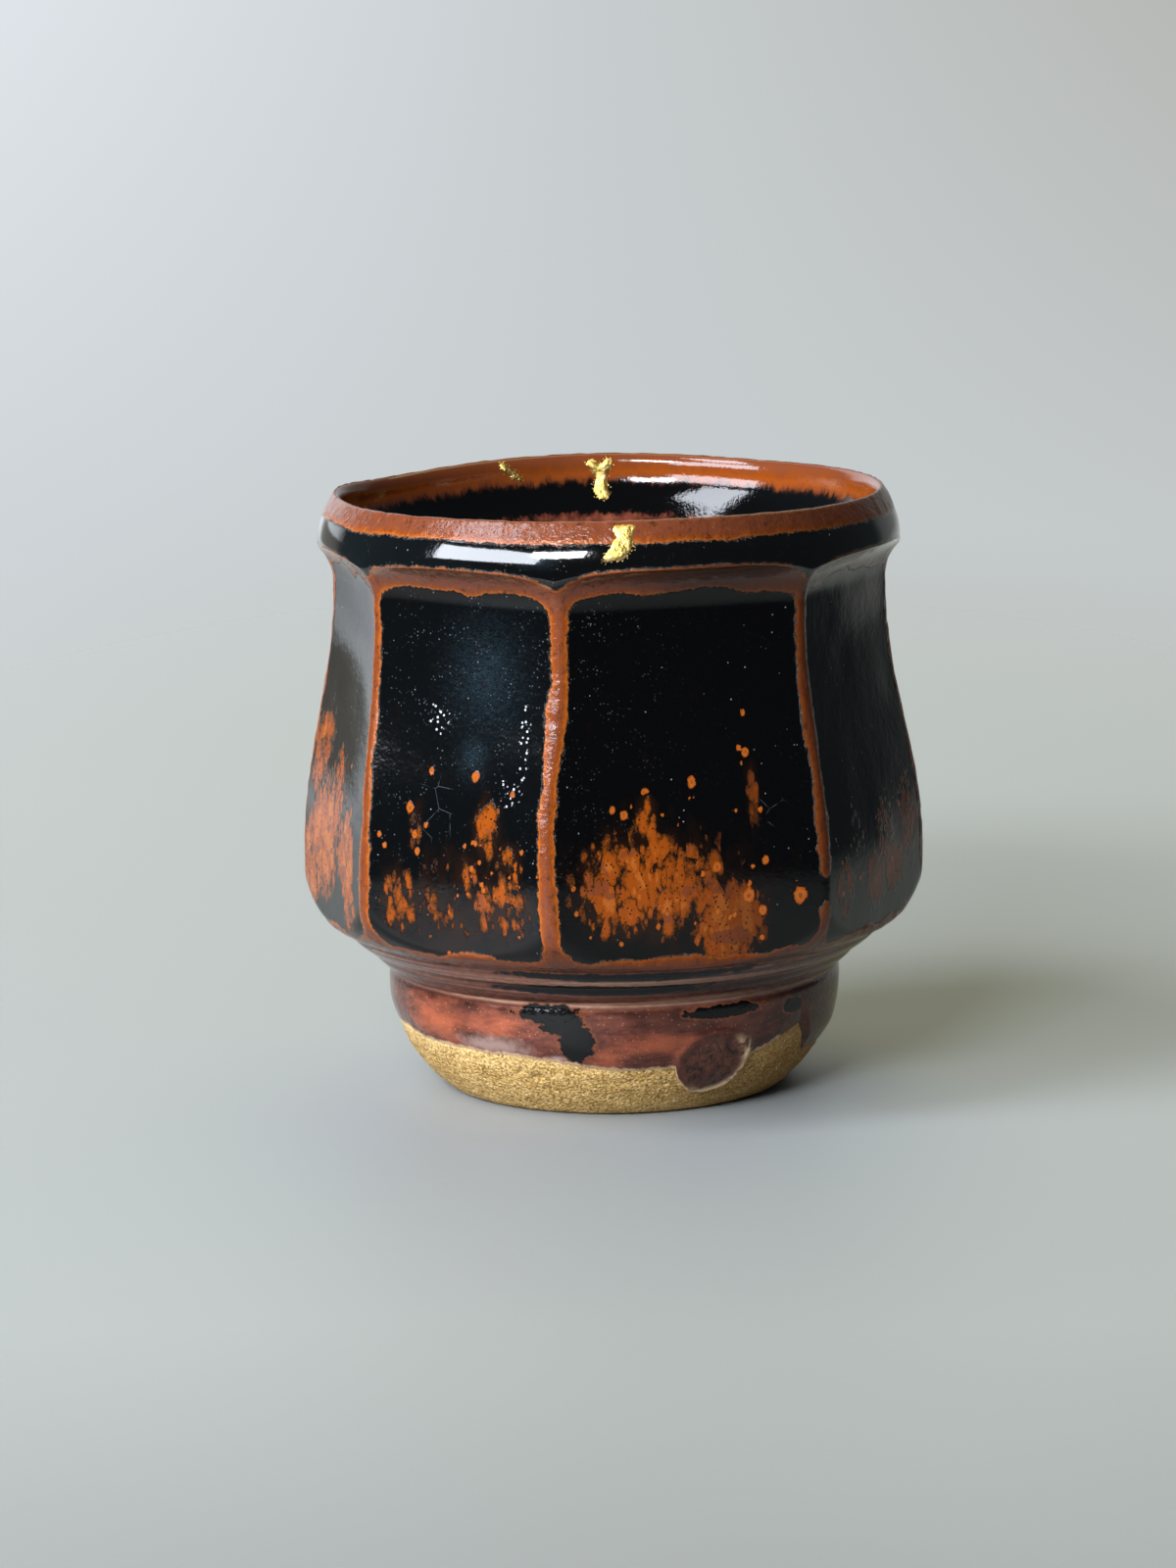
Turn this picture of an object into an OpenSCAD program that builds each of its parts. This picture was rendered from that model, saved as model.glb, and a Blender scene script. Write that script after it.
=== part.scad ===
// Faceted yunomi: a thrown and cut stoneware cup with a glossy iron glaze and gold lacquer mends.
// Millimetres, +Z up. The origin is on the cup's axis, on the plane that the foot ring stands on.
// Sizes are those of the finished surface, over the glaze. The clay lies one coat beneath it.
// Angles round the cup count from the front (-Y) towards +X.

/* [Rim] */
// Height of the cup, to the crest of the rim
cup_height = 80.5; // [70:0.5:100]
// Widest radius of the rounded band under the crest
band_r = 39; // [38:0.1:41]
// How far the crest is drawn in from the band
crest_in = 2.5; // [1.5:0.1:4]
// Drop from the crest to the widest part of the band
band_drop = 6.4; // [5.5:0.1:8]
// Width of the rounded inner edge of the crest
lip_w = 1.1; // [0.6:0.1:2]
// Height of the rounded inner edge of the crest
lip_h = 2; // [1:0.1:3]

/* [Wall] */
// Radius at the waist, measured on the ridges
waist_r = 37.1; // [35:0.1:38.5]
// Straight stretch of a facet between the waist and its scoop
waist_gap = 1.5; // [0.5:0.1:4]
// Widest radius of the belly, measured on the ridges
belly_r = 41.8; // [40:0.1:46]
// Rise from the turned edge to the widest part of the belly
belly_rise = 9; // [6:0.1:15]
// Angle that the rounding of the ridges sweeps between the belly and the turned edge
turn_angle = 62; // [40:1:80]
// How far the turned rounding stands outside the ridges at the belly
turn_spare = 0.4; // [0.2:0.1:1]
// Wall left behind the deepest facet
facet_wall = 3.7; // [2.5:0.1:5]

/* [Facets] */
// Widths of the four facets that go twice round the cup, in degrees before they are evened out
facet_widths = [40, 52, 48, 40]; // [30:1:60]
// Angle of the first ridge
first_ridge = -52; // [-60:1:-44]
// Height of the scoop that ends each facet under the band
scoop_h = 6; // [4:0.1:7]
// How far past the band the scoop of the deepest facet would run out
scoop_spare = 0.35; // [0.1:0.05:1]
// Drop from the crest to the top of the scoops
scoop_drop = 6; // [5.5:0.1:8]

/* [Foot] */
// Radius of the edge where the underside was turned
edge_r = 38.2; // [34:0.1:41]
// Rise of the underside from the neck to the turned edge
edge_rise = 6.7; // [4:0.1:9]
// How far the neck is drawn in from the foot
neck_in = 0.3; // [0.1:0.1:2]
// Height of the neck above the rounded toe
neck_rise = 0.9; // [0.5:0.1:3]
// Widest radius of the foot
foot_r = 30.3; // [27:0.1:33]
// Height of the rounded toe of the foot
toe_h = 15.4; // [12:0.1:18]
// Outer radius of the ring that the cup stands on
stand_r = 22.6; // [20:0.1:25]
// Radius of the recess inside the foot ring
recess_r = 16.5; // [12:0.1:19]
// Depth of the recess inside the foot ring
recess_depth = 5; // [3:0.1:7]
// Rise of the recess roof towards its middle
recess_crown = 0.8; // [0.3:0.1:1.5]
// Clay and glaze between the recess and the floor of the cup
floor_wall = 6.7; // [5:0.1:9]
// How far in from the turned edge the two turning grooves lie
groove_in = [1.8, 5.1]; // [1:0.1:7]
// Radius of the turning grooves
groove_r = 0.5; // [0.3:0.05:0.8]

/* [Glaze] */
// Thickness of the glaze
glaze_t = 0.6; // [0.3:0.05:1]
// Height of the line where the outer glaze stops on the foot
glaze_line = 8; // [6:0.1:11]
// Radius of the finger mark that hangs below the glaze line
finger_r = 4.2; // [3:0.1:5]
// Height of the middle of the finger mark
finger_z = 7.4; // [6:0.1:9]
// Angle of the finger mark
finger_angle = 26; // [10:1:40]

/* [Mends] */
// Depth of the chips in the clay
chip_depth = 0.4; // [0.2:0.1:0.6]
// Drop from the crest to the top of the chips, above which the gold lies on whole glaze
chip_drop = 1.6; // [1.2:0.1:3]
// Thickness of the gold over the filler
gold_t = 0.15; // [0.08:0.01:0.3]
// Angle of the mend on the outside of the rim
front_mend_angle = 2; // [-20:1:20]
// Angle of the forked mend on the inside of the rim
back_mend_angle = 180; // [165:1:190]
// Angle of the slanting mend on the inside of the rim
side_mend_angle = 202; // [195:1:225]
// Width of the slanting mend
side_mend_w = 0.8; // [0.5:0.1:1.5]

/* [Hidden] */
// Points along each stretch of an outline
steps = 8;
// Sides of the round forms
round_fn = 180;
// Slope of the toe and of the underside, as powers
toe_power = 2.7;
underside_power = 1.1;
// Spare length of a cutter past what it cuts
cut_spare = 2;

crest_r = band_r - crest_in;
neck_r = foot_r - neck_in;
neck_z = toe_h + neck_rise;
edge_z = neck_z + edge_rise;
belly_z = edge_z + belly_rise;
band_z = cup_height - band_drop;
scoop_z = cup_height - scoop_drop - scoop_h;
waist_z = scoop_z - waist_gap;
floor_z = recess_depth + recess_crown + floor_wall;
mouth_z = cup_height - lip_h;
mouth_r = crest_r - lip_w;
mend_depth = glaze_t + chip_depth;
turned_r = belly_r + turn_spare;
facet_low = edge_z - cut_spare;
cut_reach = max(turned_r, band_r, edge_r) + cut_spare;

function total(list, i = 0) = i < len(list) ? list[i] + total(list, i + 1) : 0;
function total_to(list, last) = last < 0 ? 0 : list[last] + total_to(list, last - 1);
function backwards(list) = [for (i = [len(list) - 1:-1:0]) list[i]];
function ease(share) = (1 - cos(180 * share)) / 2;

// Eight facet widths that fill the circle, the angle of each facet and the slope of its deepest chord
facet_count = 2 * len(facet_widths);
widths = [for (i = [0:facet_count - 1]) facet_widths[i % len(facet_widths)] * 180 / total(facet_widths)];
facet_angles = [for (i = [0:facet_count - 1]) first_ridge + total_to(widths, i - 1) + widths[i] / 2];
deepest = cos(max(widths) / 2);
scoop_reach = band_r + scoop_spare - deepest * waist_r;

// An outline moved square to itself, towards its right-hand side. The end directions can be given.
function direction(points, i) =
    let (step = points[min(i + 1, len(points) - 1)] - points[max(i - 1, 0)])
    [step.y, -step.x] / norm(step);
function moved(points, distance, first, last) = [
    for (i = [0:len(points) - 1])
        points[i] + distance * (
            i == 0 && !is_undef(first) ? first
            : i == len(points) - 1 && !is_undef(last) ? last
            : direction(points, i)
        )
];

// Radius of the ridges at a height from the belly up to the waist
function ridge_r(z) = belly_r - (belly_r - waist_r) * ease((z - belly_z) / (waist_z - belly_z));

// Outline of the thrown and turned form before the facets are cut, from the foot up to the crest
toe = [
    for (i = [0:steps - 1])
        let (up = i / steps)
        [foot_r - (foot_r - stand_r - glaze_t) * pow(1 - up, toe_power), toe_h * up]
];
underside = [
    for (i = [0:steps])
        let (in = 1 - i / steps)
        [edge_r - (edge_r - neck_r) * in, edge_z - edge_rise * pow(in, underside_power)]
];
turned_side = [
    for (i = [1:steps])
        let (a = turn_angle * (1 - i / steps), in = (1 - cos(a)) / (1 - cos(turn_angle)))
        [turned_r - (turned_r - edge_r) * in, belly_z - belly_rise * sin(a) / sin(turn_angle)]
];
band = [
    for (i = [0:steps])
        let (up = i / steps)
        [crest_r + crest_in * cos(90 * up), band_z + band_drop * up]
];
thrown = concat(toe, [[foot_r, toe_h]], underside, turned_side, [[band_r, band_z - scoop_h / 2]], band);

// Outline of the inside, from the middle of the floor up to the crest
bowl = [
    for (i = [0:2 * steps])
        let (a = 90 * i / (2 * steps))
        [(deepest * belly_r - facet_wall) * sin(a), belly_z - (belly_z - floor_z) * cos(a)]
];
inside_wall = [
    for (i = [1:steps])
        let (z = belly_z + (waist_z - belly_z) * i / steps)
        [deepest * ridge_r(z) - facet_wall, z]
];
flare = [
    for (i = [1:steps])
        let (up = i / steps, throat_r = deepest * waist_r - facet_wall)
        [throat_r + (mouth_r - throat_r) * ease(up), waist_z + (mouth_z - waist_z) * up]
];
lip = [
    for (i = [1:steps])
        let (a = 90 * i / steps)
        [mouth_r + lip_w * (1 - cos(a)), mouth_z + lip_h * sin(a)]
];
rim_inside = concat(flare, lip);
inside = concat(bowl, inside_wall, rim_inside);

// Outline of a facet, from under the turned edge up to the top of its scoop
function facet(width) =
    let (chord = cos(width / 2))
    concat(
        [[chord * belly_r, facet_low]],
        [
            for (i = [0:2 * steps])
                let (z = belly_z + (waist_z - belly_z) * i / (2 * steps))
                [chord * ridge_r(z), z]
        ],
        [
            for (i = [0:steps])
                let (a = 90 * i / steps)
                [chord * waist_r + scoop_reach * (1 - cos(a)), scoop_z + scoop_h * sin(a)]
        ]
    );

// Outlines of the mends, as widths along the rim and heights below the crest
front_mend = [
    [-1.2, -0.4], [2.2, -0.4], [1.5, -2.2], [0.6, -3.9],
    [0.1, -4.6], [-2.2, -4.6], [-1.3, -3.2], [-0.2, -1.8]
];
back_mend = [
    [-2.7, -1.2], [-2, -0.9], [-1, -2], [0.1, -0.8], [0.6, -1.4], [-0.3, -2.8], [-0.1, -4.2], [0.2, -5.9],
    [-1, -6.1], [-1.8, -4.7], [-1.4, -2.9]
];
side_mend = [
    [-1.6 - side_mend_w / 2, -0.7], [-1.6 + side_mend_w / 2, -0.7],
    [1.4 + side_mend_w / 2, -3.2], [1.4 - side_mend_w / 2, -3.2]
];

// Clay outlines, one coat beneath the finished ones. The coats part along the crest.
clay_outside = moved(thrown, -glaze_t, [1, 0], [0, 1]);
clay_inside = moved(inside, glaze_t, [0, -1], [0, -1]);

module groove_cuts(radius) {
    for (in = groove_in)
        translate([edge_r - in, edge_z - edge_rise * pow(in / (edge_r - neck_r), underside_power)])
            circle(r = radius, $fn = 48);
}

// A round form between its outside and inside outlines, with the turning grooves cut
module turned_form(outside_points, inside_points, groove) {
    rotate_extrude($fn = round_fn)
        difference() {
            polygon(concat(outside_points, inside_points));
            groove_cuts(groove);
        }
}

// Cutters of the eight facets, moved square to their faces by a distance
module facet_cuts(distance) {
    for (i = [0:facet_count - 1])
        rotate([90, 0, facet_angles[i] - 90])
            linear_extrude(height = 2 * cut_reach, center = true) {
                cut = moved(facet(widths[i]), distance);
                polygon(concat(cut, [[cut_reach, cut[len(cut) - 1].y], [cut_reach, cut[0].y]]));
            }
}

// A round skin on one of the rim's outlines, between two distances from it
module rim_skin(outline, from, to) {
    rotate_extrude($fn = round_fn)
        polygon(concat(moved(outline, from), backwards(moved(outline, to))));
}

// A block with the outline of a mend below a drop from the crest, through one side of the rim only
module mend_block(angle, outline, drop) {
    rotate([90, 0, angle])
        translate([0, cup_height, waist_r / 2])
            linear_extrude(height = cut_reach)
                intersection() {
                    polygon(outline);
                    translate([-cut_reach, -cut_reach])
                        square([2 * cut_reach, cut_reach - drop]);
                }
}

module front_block(drop) {
    mend_block(front_mend_angle, front_mend, drop);
}

// Seen from inside the cup, so the outlines are mirrored
module back_block(drop) {
    mend_block(back_mend_angle, [for (p = back_mend) [-p.x, p.y]], drop);
}

module side_block(drop) {
    mend_block(side_mend_angle, [for (p = side_mend) [-p.x, p.y]], drop);
}

module recess() {
    rotate_extrude($fn = round_fn)
        polygon([
            [0, -cut_spare], [recess_r, -cut_spare], [recess_r, 0],
            [recess_r - recess_crown, recess_depth], [0, recess_depth + recess_crown]
        ]);
}

module clay_body() {
    color("tan")
        difference() {
            turned_form(clay_outside, concat(backwards(clay_inside), [[0, 0]]), groove_r + glaze_t);
            facet_cuts(-glaze_t);
            recess();
            intersection() {
                rim_skin(band, -mend_depth, cut_spare);
                front_block(chip_drop);
            }
            intersection() {
                rim_skin(rim_inside, mend_depth, -cut_spare);
                union() {
                    back_block(chip_drop);
                    side_block(chip_drop);
                }
            }
        }
}

module outer_glaze() {
    color("black")
        intersection() {
            difference() {
                turned_form(thrown, concat(backwards(clay_inside), [[0, 0]]), groove_r);
                facet_cuts(0);
                difference() {
                    turned_form(clay_outside, [[0, cup_height - glaze_t], [0, 0]], groove_r + glaze_t);
                    facet_cuts(-glaze_t);
                }
                front_block(chip_drop);
            }
            union() {
                translate([0, 0, glaze_line])
                    cylinder(r = cut_reach, h = cup_height, $fn = round_fn);
                rotate([90, 0, finger_angle])
                    translate([0, finger_z, recess_r])
                        cylinder(r = finger_r, h = cut_reach, $fn = round_fn);
            }
        }
}

module inner_glaze() {
    color("saddlebrown")
        difference() {
            rotate_extrude($fn = round_fn)
                polygon(concat(inside, backwards(clay_inside)));
            back_block(chip_drop);
            side_block(chip_drop);
        }
}

module front_mend_filler() {
    color("sienna")
        intersection() {
            rim_skin(band, -mend_depth, 0);
            front_block(chip_drop);
        }
}

module front_mend_gold() {
    color("gold")
        intersection() {
            rim_skin(band, 0, gold_t);
            front_block(0);
        }
}

module back_mend_filler() {
    color("sienna")
        intersection() {
            rim_skin(rim_inside, mend_depth, 0);
            back_block(chip_drop);
        }
}

module back_mend_gold() {
    color("gold")
        intersection() {
            rim_skin(rim_inside, 0, -gold_t);
            back_block(0);
        }
}

module side_mend_filler() {
    color("sienna")
        intersection() {
            rim_skin(rim_inside, mend_depth, 0);
            side_block(chip_drop);
        }
}

module side_mend_gold() {
    color("gold")
        intersection() {
            rim_skin(rim_inside, 0, -gold_t);
            side_block(0);
        }
}

clay_body();
outer_glaze();
inner_glaze();
front_mend_filler();
front_mend_gold();
back_mend_filler();
back_mend_gold();
side_mend_filler();
side_mend_gold();
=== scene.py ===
import math

import bpy
import numpy as np
from mathutils import Matrix, Vector


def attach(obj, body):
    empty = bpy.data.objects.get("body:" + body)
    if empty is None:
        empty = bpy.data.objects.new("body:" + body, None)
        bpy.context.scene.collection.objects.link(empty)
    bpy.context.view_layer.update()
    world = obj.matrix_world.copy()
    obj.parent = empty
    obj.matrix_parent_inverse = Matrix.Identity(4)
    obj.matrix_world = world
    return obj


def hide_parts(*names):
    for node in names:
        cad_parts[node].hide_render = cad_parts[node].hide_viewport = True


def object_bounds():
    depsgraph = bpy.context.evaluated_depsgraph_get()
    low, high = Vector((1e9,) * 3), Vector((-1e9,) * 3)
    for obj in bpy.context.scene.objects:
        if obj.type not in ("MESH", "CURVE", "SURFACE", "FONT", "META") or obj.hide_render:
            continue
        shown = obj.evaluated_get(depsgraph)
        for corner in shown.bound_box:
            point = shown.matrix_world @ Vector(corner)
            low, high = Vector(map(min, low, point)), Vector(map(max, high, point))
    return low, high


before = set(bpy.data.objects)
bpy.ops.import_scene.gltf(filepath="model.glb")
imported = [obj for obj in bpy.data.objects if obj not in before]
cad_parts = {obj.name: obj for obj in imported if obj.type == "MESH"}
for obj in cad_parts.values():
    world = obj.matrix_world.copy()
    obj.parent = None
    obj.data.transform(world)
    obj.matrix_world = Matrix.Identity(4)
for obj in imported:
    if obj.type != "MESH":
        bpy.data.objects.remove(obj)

# A faceted stoneware teacup with a glossy iron glaze and gold mends, built over its fixed frame.
# Sizes are in millimetres until a mesh is made. Angles count from the front (-Y) towards +X.
# A grain is a noise's amount, its cell in degrees, its cell in height and its seed.
cad_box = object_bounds()
MM = 0.001

# Rim
cup_height = (cad_box[1][2] - cad_box[0][2]) / MM
band_r = 39.0
crest_in = 2.5
band_drop = 6.4
crest_r = band_r - crest_in
band_z = cup_height - band_drop
lip_w = 1.1
lip_h = 2.0
mouth_r = crest_r - lip_w
mouth_z = cup_height - lip_h

# Wall and facets
facet_widths = [40, 52, 48, 40] * 2
first_ridge = -52
ridge_angles = [first_ridge + sum(facet_widths[:i]) for i in range(len(facet_widths))]
facet_angles = [ridge + width / 2 for ridge, width in zip(ridge_angles, facet_widths)]
deepest = math.cos(math.radians(max(facet_widths) / 2))
waist_r = 37.1
belly_r = 41.8
facet_wall = 3.7
scoop_h = 6.0
scoop_spare = 0.35
scoop_drop = 6.0
waist_gap = 1.5
scoop_top = cup_height - scoop_drop
scoop_z = scoop_top - scoop_h
waist_z = scoop_z - waist_gap
scoop_reach = band_r + scoop_spare - deepest * waist_r
# How softly two facets meet in a ridge, and a facet meets the thrown form
ridge_soft = 0.7
cut_soft = 0.5
# The facet on the right is cut a little full: its middle stands this far proud
bowed_facet = 2
facet_bow = 0.45

# Foot
foot_r = 30.3
toe_h = 15.4
toe_power = 2.7
neck_r = 30.0
neck_rise = 0.9
neck_z = toe_h + neck_rise
edge_r = 38.2
edge_rise = 6.7
underside_power = 1.1
edge_z = neck_z + edge_rise
belly_rise = 9.0
turn_angle = math.radians(62)
turn_spare = 0.4
belly_z = edge_z + belly_rise
turned_r = belly_r + turn_spare
stand_r = 22.6
recess_r = 16.5
recess_depth = 5.0
recess_crown = 0.8
recess_top = recess_depth + recess_crown
floor_wall = 6.7
floor_z = recess_top + floor_wall
# Turned grooves: distances in from the edge, half width, depth, and lean inwards and upwards
groove_in = (1.8, 5.1)
groove_w = 0.55
groove_depth = 0.4
groove_lean = (0.6, 0.8)

# Glaze
glaze_t = 0.6
finger_angle = 26.0
finger_z = 7.5
finger_w = 10.5
finger_h = 4.6

# Fineness of the meshes, and the height that the noise reaches
columns = 720
angles = np.arange(columns) * 360 / columns - 180
stretch_points = 200
fine_step = 0.05
worn_passes = 70
noise_height = 200


def ease(share):
    return (1 - np.cos(np.pi * np.clip(share, 0, 1))) / 2


def smooth_step(low, high, value):
    share = np.clip((value - low) / (high - low), 0, 1)
    return share * share * (3 - 2 * share)


def soft_min(a, b, reach):
    blend = np.maximum(reach - np.abs(a - b), 0) / reach
    return np.minimum(a, b) - blend * blend * reach / 4


def bell(distance, half):
    return np.exp(-(distance / half) ** 2)


def apart(a, b):
    """Signed difference of two angles, from -180 to 180 degrees."""
    return (np.asarray(a) - b + 180) % 360 - 180


def at_stops(stops, value):
    """The number at a value, between given stops of (value, number)."""
    return np.interp(value, *zip(*stops))


def from_corners(lattice, row, left, right, up, across):
    """The value between four corners of a lattice."""
    low = lattice[row, left] * (1 - across) + lattice[row, right] * across
    high = lattice[row + 1, left] * (1 - across) + lattice[row + 1, right] * across
    return low * (1 - up) + high * up


def value_noise(degrees, height, amount, cell_degrees, cell_height, seed):
    """Smooth noise that closes on itself round the cup, up to an amount either way."""
    around = max(3, round(360 / cell_degrees))
    rows = int(noise_height / cell_height) + 4
    lattice = np.random.default_rng(seed).uniform(-1, 1, (rows, around))
    x = (np.asarray(degrees) + 180) / 360 * around
    y = np.asarray(height) / cell_height + 1
    column = np.floor(x).astype(int)
    row = np.floor(y).astype(int)
    across = smooth_step(0, 1, x - column)
    up = smooth_step(0, 1, y - row)
    return amount * from_corners(lattice, row, column % around, (column + 1) % around, up, across)


# Outline of the finished cup


def ridge_r(z):
    return belly_r - (belly_r - waist_r) * ease((z - belly_z) / (waist_z - belly_z))


def cup_outline():
    """Points (r, z) from the standing edge up the outside, over the crest and down to the floor."""
    up = np.linspace(0, 1, stretch_points)
    down = up[::-1]
    toe = foot_r - (foot_r - stand_r - glaze_t) * (1 - up) ** toe_power, toe_h * up
    under_r = edge_r - (edge_r - neck_r) * down
    under_z = edge_z - edge_rise * down ** underside_power
    for distance in groove_in:
        dent = groove_depth * bell(edge_r - under_r - distance, groove_w)
        under_z = under_z + dent * groove_lean[1]
        under_r = under_r - dent * groove_lean[0]
    a = turn_angle * (1 - up)
    turned_in = (1 - np.cos(a)) / (1 - math.cos(turn_angle))
    turned_z = belly_z - belly_rise * np.sin(a) / math.sin(turn_angle)
    turned = turned_r - (turned_r - edge_r) * turned_in, turned_z
    side = np.array([band_r]), np.array([band_z - scoop_h / 2])
    band = crest_r + crest_in * np.cos(np.pi / 2 * up), band_z + band_drop * up
    quarter = np.pi / 2 * (1 - up)
    lip = mouth_r + lip_w * (1 - np.cos(quarter)), mouth_z + lip_h * np.sin(quarter)
    throat_r = deepest * waist_r - facet_wall
    flare = throat_r + (mouth_r - throat_r) * ease(1 - up), waist_z + (mouth_z - waist_z) * (1 - up)
    wall_z = waist_z + (belly_z - waist_z) * up
    wall = deepest * ridge_r(wall_z) - facet_wall, wall_z
    bowl_r = deepest * belly_r - facet_wall
    bowl = bowl_r * np.sin(quarter), belly_z - (belly_z - floor_z) * np.cos(quarter)
    parts = [toe, (under_r, under_z), turned, side, band, lip, flare, wall, bowl]
    return np.concatenate([np.stack(part, 1) for part in parts])


def lengths_along(points):
    return np.concatenate([[0], np.cumsum(np.hypot(*np.diff(points, axis=0).T))])


def evened(points, step):
    """The same outline with points an equal step apart."""
    gaps = np.hypot(*np.diff(points, axis=0).T)
    points = points[np.concatenate([[True], gaps > 1e-9])]
    lengths = lengths_along(points)
    even = np.linspace(0, lengths[-1], int(lengths[-1] / step))
    return np.stack([np.interp(even, lengths, points[:, i]) for i in (0, 1)], 1)


def rounded(points, passes):
    """The outline with its corners worn round."""
    for _ in range(passes):
        points[1:-1] = (points[:-2] + 2 * points[1:-1] + points[2:]) / 4
    return points


# Wearing lowers the crest a little, so the outline is stretched back to its height from here up
stretch_from = 70
outline = rounded(evened(cup_outline(), fine_step), worn_passes)
crest_at = int(np.argmax(outline[:, 1]))
outline[:, 1] += (cup_height - outline[crest_at, 1]) * smooth_step(stretch_from, cup_height, outline[:, 1])
run = lengths_along(outline)
slope = np.gradient(outline, axis=0)
slope /= np.hypot(*slope.T)[:, None]
normals = np.stack([slope[:, 1], -slope[:, 0]], 1)


def run_at(z, inside=False):
    """Distance along the outline to a height, on the outside or on the inside."""
    if inside:
        return np.interp(-np.asarray(z), -outline[crest_at:, 1], run[crest_at:])
    return np.interp(z, outline[:crest_at + 1, 1], run[:crest_at + 1])


def height_at(along):
    return np.interp(along, run, outline[:, 1])


# How far the front ridges waver from their own angles on the way up: height, degrees
ridge_waver = {
    0: [(30, 0), (40, 0), (50, -1.8), (60, -3.6), (75, -3.8)],
    1: [(24, 0.8), (33, 0), (42, -0.4), (50, 0.6), (60, 1.7), (75, 1.4)],
    2: [(24, 1.2), (75, 1.8)],
}
# The other ridges waver by chance
waver_grain = (0.8, 30, 16, 14)


def carved(degrees, z):
    """Angles measured from the wavering ridges, so that each ridge lies at its own set angle."""
    degrees, z = np.broadcast_arrays(degrees, z)
    shift = np.zeros(z.shape)
    for i, angle in enumerate(ridge_angles):
        away = apart(degrees, angle)
        reach = np.where(away < 0, facet_widths[i - 1], facet_widths[i])
        if i in ridge_waver:
            bend = at_stops(ridge_waver[i], z)
        else:
            bend = value_noise(0 * z + angle, z, *waver_grain)
        shift = shift + bend * np.clip(1 - np.abs(away) / reach, 0, 1)
    return degrees - shift


# A facet counts only where it faces outwards this much, and elsewhere it is set far off
least_lean = 0.6
far_off = 99.0
# The facets end at the top of the scoops and under the turned edge: past these heights they stand clear
cut_top = (scoop_top - 0.05, scoop_top)
cut_bottom = (edge_z - 0.5, edge_z - 2)
clear_by = 50


def facet_radius(degrees, z, inset=0.0):
    """Radius at which the eight cut faces lie, softened where they meet in ridges."""
    degrees = carved(degrees, z)
    scoop = scoop_reach * (1 - np.sqrt(1 - np.clip((z - scoop_z) / scoop_h, 0, 1) ** 2))
    nearest = np.full(np.broadcast(degrees, z).shape, far_off)
    for i, (width, middle) in enumerate(zip(facet_widths, facet_angles)):
        away = apart(degrees, middle)
        lean = np.cos(np.radians(away))
        distance = math.cos(math.radians(width / 2)) * ridge_r(z) + scoop - inset
        if i == bowed_facet:
            distance = distance + facet_bow * (1 - np.clip(2 * away / width, -1, 1) ** 2)
        face = np.where(lean > least_lean, distance / np.maximum(lean, least_lean), far_off)
        nearest = soft_min(nearest, face, ridge_soft)
    return nearest + clear_by * (smooth_step(*cut_top, z) + smooth_step(*cut_bottom, z))


# Unevenness of the wall and of the rim's height, which grows from a height up
wall_grain = (0.14, 30, 18, 11)
skin_grain = (0.04, 8, 5, 12)
rim_grain = (0.28, 40, 50, 13)
rim_from = 68
# The rim sags a little at the back left
dip_angle = -122
dip_half = 22
rim_dip = 0.75
dip_from = 60
# The unevenness fades out towards the middle of the floor, inside this radius
still_r = 6


def wobble(degrees, z):
    """Small unevenness of a hand-thrown wall and the height of its rim."""
    out = value_noise(degrees, z, *wall_grain) + value_noise(degrees, z, *skin_grain)
    lift = value_noise(degrees, 0 * z, *rim_grain) * smooth_step(rim_from, cup_height, z)
    dip = rim_dip * bell(apart(degrees, dip_angle), dip_half)
    return out, lift - dip * smooth_step(dip_from, cup_height, z)


def cup_points(degrees, along, inset=0.0, inside=False):
    """Points of the cup at angles and distances along the outline, moved in from the finished surface."""
    r = np.interp(along, run, outline[:, 0]) - inset * np.interp(along, run, normals[:, 0])
    z = height_at(along) - inset * np.interp(along, run, normals[:, 1])
    degrees = np.broadcast_to(degrees, r.shape)
    if not inside:
        r = soft_min(r, facet_radius(degrees, z, inset), cut_soft)
    out, lift = wobble(degrees, np.clip(z, 0, cup_height))
    r = r + out * smooth_step(0, still_r, r)
    a = np.radians(degrees)
    return np.stack([r * np.sin(a), -r * np.cos(a), z + lift], -1)


# Line where the outer glaze stops on the foot: listed angles and heights, and its unevenness
glaze_line = [
    (-180, 8.2), (-150, 8.9), (-110, 9.3), (-69, 9.5), (-60, 8.9), (-40, 8.9), (-28, 8.7), (-17, 8.4),
    (-7, 7.5), (3, 7.1), (8, 7.2), (16, 7.1), (37, 7.6), (45, 9.0), (55.5, 10.8), (58, 9.0), (61, 6.4),
    (80, 6.2), (110, 7.4), (150, 7.8), (180, 8.2),
]
line_grain = (0.12, 3, 50, 21)
fray_grain = (0.07, 1, 50, 22)
# Place and half width of the finger mark's pale rim, in shares of the mark's size
mark_rim = 0.97
mark_rim_half = 0.12


def oval_distance(degrees, z, angle, height, half_w, half_h):
    """Distance from an oval's middle in shares of its size: 1 is its edge."""
    return np.hypot(apart(degrees, angle) / half_w, (z - height) / half_h)


def finger_distance(degrees, z):
    return oval_distance(degrees, z, finger_angle, finger_z, finger_w, finger_h)


def finger_rim(degrees, z):
    """The pale raised rim on the right and lower side of the finger mark."""
    mark = finger_distance(degrees, z)
    rightward = apart(degrees, finger_angle) / finger_w / np.maximum(mark, 0.1)
    downward = (finger_z - z) / finger_h / np.maximum(mark, 0.1)
    ring = bell(mark - mark_rim, mark_rim_half)
    return ring * smooth_step(-0.2, 0.5, 0.75 * rightward + 0.55 * downward)


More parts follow.
